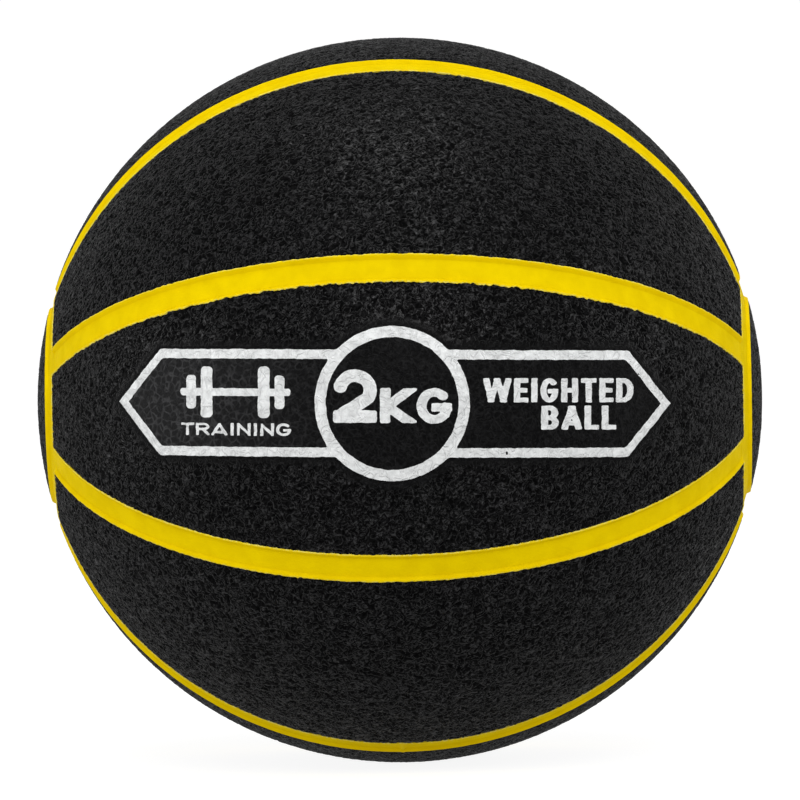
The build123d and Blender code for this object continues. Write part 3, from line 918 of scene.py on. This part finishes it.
def yellow_rubber(finish):
    """Smooth coloured rubber, darker in random patches, with painted shade along the foot of its walls and a
    painted highlight along its lips.
    """
    material, tree, shader, where = new_material("yellow_rubber", Specular_IOR_Level=0.01, IOR=1.5)
    mottle = use_group(tree, "slow_mottle", Vector=where, Scale=210.0)
    grain = use_group(tree, "worm_grain", Vector=where, Scale=500.0, Ridge_width=0.1)
    # random darker patches, and painted shade at the foot of the walls
    marks = weigh(tree, (mottle.outputs["Mask"], 0.35), (mark(tree, "foot"), 0.4))
    base = mix_colours(tree, marks, tuple(finish.yellow), tuple(finish.yellow_patches_and_shade))
    # painted highlight along the lips, broken up by the grain's ridges
    broken = ramp(tree, grain.outputs["Ridges"], 0.0, 1.0, 0.15, 0.95)
    flash = reckon(tree, "MULTIPLY", mark(tree, "rim"), broken, clamp=True)
    base = mix_colours(tree, flash, base, tuple(finish.yellow_lip_highlight))
    rough = (mottle.outputs["Mask"], 0.42, 0.58)
    link_surface(tree, shader, base, rough, grain.outputs["Height"], 0.03 * MM)
    return material


def label_film(finish):
    """Thin dark film, a little glossier than the rubber round it. Fine crease lines follow the grain under it
    and are painted paler, as painted highlights along its crevices; both they and the film are paler towards
    the label's left end, and the film is a little paler on the grain's higher parts."""
    material, tree, shader, where = new_material("label_film", Specular_IOR_Level=0.045, IOR=1.5)
    grain = use_group(tree, "worm_grain", Vector=where, Scale=480.0, Ridge_width=0.1)
    mottle = use_group(tree, "slow_mottle", Vector=where, Scale=60.0)
    creases = use_group(tree, "crease_net", Vector=where, Scale=520.0).outputs["Lines"]
    left = add_node(tree, "SeparateXYZ", {"Vector": where}).outputs["X"]
    least = 0.15
    fade = ramp(tree, left, -60 * MM, -5 * MM, 1.0, least, smooth=True)
    # painted highlights along the crevices, strongest towards the left end
    shown = reckon(tree, "MULTIPLY", creases, fade)
    haze = reckon(tree, "SUBTRACT", fade, least)
    share = weigh(tree, (weigh(tree, (shown, 0.55), (haze, 0.20)), mark(tree, "framed")),
                  (grain.outputs["Height"], 0.14))
    base = mix_colours(tree, share, tuple(finish.film), tuple(finish.film_pale_and_highlight))
    rough = (mottle.outputs["Mask"], 0.30, 0.42)
    link_surface(tree, shader, base, rough, grain.outputs["Height"], 0.20 * MM)
    return material


def clouded_skin(name, low, high, scale, cloud_scale, width, roughness, spread, depth, specular):
    """A skin with a clouded colour and fine moulded ridges."""
    material, tree, shader, where = new_material(name, Specular_IOR_Level=specular, IOR=1.5)
    grain = use_group(tree, "worm_grain", Vector=where, Scale=scale, Ridge_width=width)
    cloud = use_group(tree, "slow_mottle", Vector=where, Scale=cloud_scale).outputs["Mask"]
    base = mix_colours(tree, cloud, tuple(low), tuple(high))
    rough = (cloud, roughness - spread, roughness + spread)
    link_surface(tree, shader, base, rough, grain.outputs["Height"], depth)
    return material


def label_ink(finish):
    """White print, clouded darker in patches as painted shade of its bumpy surface."""
    # the darker clouds are painted shade of the print's relief
    return clouded_skin(
        "label_ink", finish.ink, darker(finish.ink, 0.792), 360.0, 480.0, 0.12, 0.45, 0.07, 0.34 * MM, 0.25)


def plain_rubber(name, low, high, scale, roughness, depth):
    """Unmarked rubber for the parts under the cover."""
    return clouded_skin(name, low, high, scale, 0.12 * scale, 0.08, roughness, 0.06, depth, 0.12)


def wound_nylon():
    """Nylon thread laid in bands that cross: two sets of fine waves, one over the other in patches."""
    material, tree, shader, where = new_material("wound_nylon", Specular_IOR_Level=0.4, IOR=1.53)
    heights = []
    for turn in ((0.35, 0.2, 0.0), (-0.5, 0.9, 0.4)):
        turned = add_node(tree, "Mapping", {"Vector": where, "Rotation": turn})
        wave = add_node(tree, "TexWave", {
            "Vector": turned.outputs[0], "Scale": 260.0, "Distortion": 0.6, "Detail": 1.0},
            bands_direction="X")
        heights.append(wave.outputs["Fac"])
    over = use_group(tree, "slow_mottle", Vector=where, Scale=60.0).outputs["Mask"]
    height = add_node(tree, "Mix", {0: over, 2: heights[0], 3: heights[1]}).outputs[0]
    base = mix_colours(tree, height, (0.30, 0.28, 0.24, 1), (0.72, 0.70, 0.64, 1))
    link_surface(tree, shader, base, (height, 0.6, 0.4), height, 0.15 * MM)
    return material


def studio_floor():
    """Pale floor. It is bright where it is seen directly, and lights the ball only as a pale floor would."""
    material = bpy.data.materials.new("pale_floor")
    material.use_nodes = True
    tree = material.node_tree
    tree.nodes.clear()
    seen = add_node(tree, "LightPath").outputs["Is Camera Ray"]
    body = add_node(tree, "BsdfDiffuse", {"Color": (0.30, 0.30, 0.30, 1)})
    unseen = add_node(tree, "Emission", {"Color": WHITE, "Strength": 0.36})
    glow = add_node(tree, "Emission", {"Color": WHITE, "Strength": 0.90})
    low = add_node(tree, "AddShader", {0: body.outputs[0], 1: unseen.outputs[0]})
    high = add_node(tree, "AddShader", {0: body.outputs[0], 1: glow.outputs[0]})
    pick = add_node(tree, "MixShader", {0: seen, 1: low.outputs[0], 2: high.outputs[0]})
    result = add_node(tree, "OutputMaterial")
    tree.links.new(pick.outputs[0], result.inputs["Surface"])
    return material


# ---------------------------------------------------------------- operators

def finish_piece(piece, material, slot, *nodes):
    """Gives a new piece its material, hangs it under the root body and hides the model parts it stands in
    for; the slot is not used.
    """
    piece.data.materials.append(material)
    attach(piece, "root")
    if nodes:
        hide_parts(*nodes)


def dress_node(name, material):
    """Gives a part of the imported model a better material."""
    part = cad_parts[name]
    part.data.materials.clear()
    part.data.materials.append(material)


def shared_material(name, maker, *values):
    """The material of this name, made the first time it is asked for."""
    return bpy.data.materials.get(name) or maker(*values)


class BALL_OT_panels(bpy.types.Operator):
    """Builds the eight pebbled gore panels of the cover"""
    bl_idname = "ball.panels"
    bl_label = "Cover panels"

    def execute(self, context):
        scene = context.scene
        sizes, finish, label = scene.ball_sizes, scene.rubber_finish, scene.label_sizes
        material = shared_material("black_rubber", black_rubber, finish)
        for count, name in enumerate(PANEL_NAMES):
            finish_piece(panel_piece(sizes, finish, label, count), material, "cover_rubber", name)
        return {"FINISHED"}


class BALL_OT_channels(bpy.types.Operator):
    """Builds the eight coloured seam channels"""
    bl_idname = "ball.channels"
    bl_label = "Seam channels"

    def execute(self, context):
        material = shared_material("yellow_rubber", yellow_rubber, context.scene.rubber_finish)
        for count, name in enumerate(STRIP_NAMES):
            finish_piece(strip_piece(context.scene.ball_sizes, count), material, "seam_rubber", name)
        return {"FINISHED"}


class BALL_OT_rings(bpy.types.Operator):
    """Builds the ring channel round each pole"""
    bl_idname = "ball.rings"
    bl_label = "Pole rings"

    def execute(self, context):
        material = shared_material("yellow_rubber", yellow_rubber, context.scene.rubber_finish)
        for pole, side in ((1, "valve_side"), (-1, "plain_side")):
            piece = ring_piece(context.scene.ball_sizes, pole, "ring_channel_" + side)
            finish_piece(piece, material, "seam_rubber", "pole_ring_" + side)
        return {"FINISHED"}


class BALL_OT_caps(bpy.types.Operator):
    """Builds the round cap inside each ring"""
    bl_idname = "ball.caps"
    bl_label = "Pole caps"

    def execute(self, context):
        sizes, finish = context.scene.ball_sizes, context.scene.rubber_finish
        material = shared_material("black_rubber", black_rubber, finish)
        for pole, side in ((1, "valve_side"), (-1, "plain_side")):
            piece = cap_piece(sizes, finish, pole, "cap_" + side)
            finish_piece(piece, material, "cover_rubber", "pole_cap_" + side)
        return {"FINISHED"}


LABEL_AREA = (-72 * MM, 72 * MM, -21 * MM, 21 * MM)
MARK_AREA = (-62 * MM, 62 * MM, -10 * MM, 10 * MM)
FILM_STEP, FRAME_STEP, MARK_STEP, CAPTION_STEP = 0.4 * MM, 0.25 * MM, 0.2 * MM, 0.16 * MM
FILM_BACK = 0.33 * MM         # depth of the film's back below the ball's surface
PRINT_LIFT, PRINT_ROOT = 0.035 * MM, 0.05 * MM      # print above the film's face, and its root below it


class BALL_OT_label(bpy.types.Operator):
    """Builds the label's film, frame and marks"""
    bl_idname = "ball.label"
    bl_label = "Label"

    def execute(self, context):
        scene = context.scene
        sizes, finish, label = scene.ball_sizes, scene.rubber_finish, scene.label_sizes
        ink = label_ink(finish)

        def face(lift):
            def at(u, v):
                return on_label(label, sizes, u, v, film_depth(label, sizes, finish, u, v) - lift)
            return at

        def outline(u, v):
            return film_distance(label, u, v)

        def framing(u, v):
            return frame_distance(label, u, v)

        def dumbbell(u, v):
            return dumbbell_distance(u, v) + print_wobble(u, v)

        def printed(name, distance, area, step, *nodes):
            piece = cut_sheet(name, distance, area, step, face(PRINT_LIFT), face(-PRINT_ROOT))
            finish_piece(piece, ink, "label_ink", *nodes)

        film = cut_sheet(
            "transfer_film", outline, LABEL_AREA, FILM_STEP,
            face(0), lambda u, v: on_label(label, sizes, u, v, FILM_BACK),
            {"framed": lambda u, v: smooth_step(-0.9 * MM, -1.6 * MM, outline(u, v))})
        finish_piece(film, label_film(finish), "label_film", "label_film")
        printed("printed_frame", framing, LABEL_AREA, FRAME_STEP, "label_frame")
        for name, words in MARKS.items():
            step = CAPTION_STEP if name == "label_caption" else MARK_STEP
            printed(name, lambda u, v: mark_distance(words, u, v), MARK_AREA, step)
        printed("label_dumbbell", dumbbell, MARK_AREA, MARK_STEP)
        return {"FINISHED"}


class BALL_OT_valve(bpy.types.Operator):
    """Finishes the valve's housing and core"""
    bl_idname = "ball.valve"
    bl_label = "Valve"

    def execute(self, context):
        housing = plain_rubber("valve_rubber", (0.006, 0.006, 0.006, 1), (0.014, 0.014, 0.014, 1),
                               900.0, 0.5, 0.05 * MM)
        core = plain_rubber("core_rubber", (0.010, 0.010, 0.011, 1), (0.022, 0.022, 0.023, 1),
                            1200.0, 0.42, 0.03 * MM)
        dress_node("valve_housing", housing)
        dress_node("valve_core", core)
        return {"FINISHED"}


class BALL_OT_inner(bpy.types.Operator):
    """Finishes the weighted carcass, the winding and the bladder"""
    bl_idname = "ball.inner"
    bl_label = "Inner layers"

    def execute(self, context):
        carcass = plain_rubber("weighted_rubber", (0.030, 0.029, 0.028, 1), (0.060, 0.057, 0.054, 1),
                               260.0, 0.72, 0.2 * MM)
        dress_node("weight_shell_valve_side", carcass)
        dress_node("weight_shell_plain_side", carcass)
        dress_node("thread_winding", wound_nylon())
        bladder = plain_rubber("butyl_bladder", (0.008, 0.008, 0.009, 1), (0.016, 0.016, 0.018, 1),
                               180.0, 0.36, 0.08 * MM)
        dress_node("air_bladder", bladder)
        return {"FINISHED"}


FLOOR_HALF = 30.0
SOFT_BOXES = {
    "overhead": ((0.0, -0.15, 1.5), 0.75),
    "key": ((0.1, -1.5, 1.0), 0.9),
    "left": ((-1.7, -0.45, -0.05), 1.0),
    "right": ((1.7, -0.3, 0.5), 1.0),
}


def soft_box(name, place, size, power):
    """A square softbox that faces the ball."""
    light = bpy.data.lights.new(name, "AREA")
    light.shape = "SQUARE"
    light.size = size
    light.energy = power
    box = bpy.data.objects.new(name, light)
    bpy.context.scene.collection.objects.link(box)
    box.location = place
    box.rotation_euler = (-Vector(place)).to_track_quat("-Z", "Y").to_euler()


class BALL_OT_studio(bpy.types.Operator):
    """Builds the pale floor, the soft light and the camera"""
    bl_idname = "ball.studio"
    bl_label = "Studio"

    def execute(self, context):
        studio, sizes = context.scene.studio_sizes, context.scene.ball_sizes
        corners = FLOOR_HALF * np.array([(-1, -1), (1, -1), (1, 1), (-1, 1)])
        points = np.column_stack([corners, np.full(4, -sizes.radius)])
        floor = make_piece("floor", points, np.array([[0, 1, 2, 3]]))
        floor.data.materials.append(studio_floor())

        world = bpy.data.worlds.new("studio_dome")
        world.use_nodes = True
        tree = world.node_tree
        tree.nodes.clear()
        seen = add_node(tree, "LightPath").outputs["Is Camera Ray"]
        dome = add_node(tree, "Background", {"Color": WHITE, "Strength": studio.dome})
        white = add_node(tree, "Background", {"Color": WHITE, "Strength": 1.02})
        pick = add_node(tree, "MixShader", {0: seen, 1: dome.outputs[0], 2: white.outputs[0]})
        result = add_node(tree, "OutputWorld")
        tree.links.new(pick.outputs[0], result.inputs["Surface"])
        context.scene.world = world

        for name, (place, size) in SOFT_BOXES.items():
            soft_box(name + "_softbox", place, size, getattr(studio, name))

        a, e, roll = studio.azimuth, studio.elevation, studio.roll
        back = Vector((sin(a) * cos(e), -cos(a) * cos(e), sin(e)))
        level = Vector((cos(a), sin(a), 0))
        upright = back.cross(level)
        right = level * cos(roll) - upright * sin(roll)
        up = level * sin(roll) + upright * cos(roll)
        lens = bpy.data.cameras.new("camera")
        lens.lens = studio.lens
        lens.clip_start, lens.clip_end = 0.1, 100
        camera = bpy.data.objects.new("camera", lens)
        context.scene.collection.objects.link(camera)
        camera.matrix_world = Matrix((right, up, back)).transposed().to_4x4()
        camera.location = back * studio.distance
        context.scene.camera = camera
        context.scene.view_settings.view_transform = "Standard"
        return {"FINISHED"}


class BALL_PT_sidebar(bpy.types.Panel):
    """Sizes, colours and build buttons in the 3D view's sidebar"""
    bl_label = "Medicine ball"
    bl_space_type = "VIEW_3D"
    bl_region_type = "UI"
    bl_category = "Medicine ball"

    def draw(self, context):
        for group in ("ball_sizes", "rubber_finish", "label_sizes", "studio_sizes"):
            values = getattr(context.scene, group)
            box = self.layout.box()
            for key in values.bl_rna.properties.keys():
                if key not in ("name", "rna_type"):
                    box.prop(values, key)
        for operator in OPERATORS:
            self.layout.operator(operator.bl_idname)


GROUPS = {
    "ball_sizes": BallSizes,
    "rubber_finish": RubberFinish,
    "label_sizes": LabelSizes,
    "studio_sizes": StudioSizes,
}
OPERATORS = (
    BALL_OT_studio, BALL_OT_panels, BALL_OT_channels, BALL_OT_rings, BALL_OT_caps,
    BALL_OT_label, BALL_OT_valve, BALL_OT_inner,
)


def register():
    for name, group in GROUPS.items():
        bpy.utils.register_class(group)
        setattr(bpy.types.Scene, name, bpy.props.PointerProperty(type=group))
    for operator in OPERATORS:
        bpy.utils.register_class(operator)
    bpy.utils.register_class(BALL_PT_sidebar)


def unregister():
    bpy.utils.unregister_class(BALL_PT_sidebar)
    for operator in reversed(OPERATORS):
        bpy.utils.unregister_class(operator)
    for name, group in GROUPS.items():
        delattr(bpy.types.Scene, name)
        bpy.utils.unregister_class(group)


def main():
    register()
    for operator in OPERATORS:
        category, action = operator.bl_idname.split(".")
        getattr(getattr(bpy.ops, category), action)()


if __name__ == "__main__":
    main()
